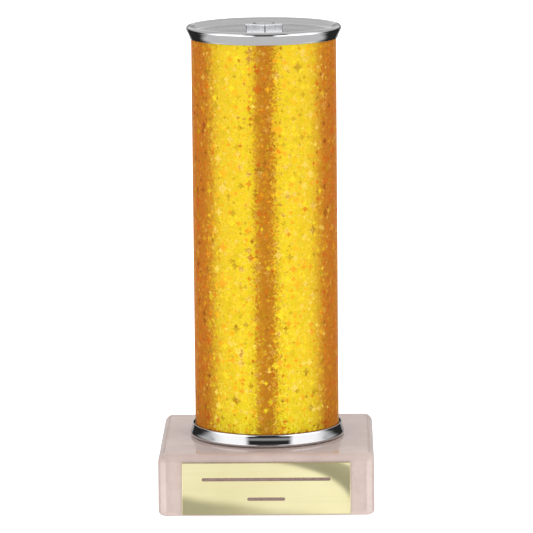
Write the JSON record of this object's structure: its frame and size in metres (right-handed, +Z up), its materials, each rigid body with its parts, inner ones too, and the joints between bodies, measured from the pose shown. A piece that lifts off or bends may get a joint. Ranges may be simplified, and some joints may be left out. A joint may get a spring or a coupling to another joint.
{
  "type": "column trophy",
  "caption": "Column trophy: a square marble base with a blank engraving plate carries a film-wrapped round tube between pressed metal caps, held by a tie rod.",
  "frame": {"origin": "centre of the felt underside, on the column's axis", "axes": "+Z up along the column; the engraving plate faces -Y; +X to the viewer's right"},
  "size_m": [0.0654, 0.0661, 0.1474],
  "materials": {
    "pink_marble": "polished",
    "felt": "matte",
    "adhesive_tape": "matte",
    "plate_brass": "satin",
    "bright_chrome": "polished",
    "tube_plastic": "matte",
    "gold_film": "gloss",
    "zinc_steel": "satin",
    "bright_nut": "gloss"
  },
  "bodies": {
    "root": {"marble_base": "pink_marble", "felt_pad": "felt", "plate_tape": "adhesive_tape", "engraving_plate": "plate_brass", "bottom_cap": "bright_chrome", "column_tube": "tube_plastic", "star_film": "gold_film", "top_cap": "bright_chrome", "tie_rod": "zinc_steel", "top_nut": "bright_nut", "bottom_washer": "zinc_steel", "lock_washer": "zinc_steel", "bottom_nut": "zinc_steel"}
  },
  "joints": []
}
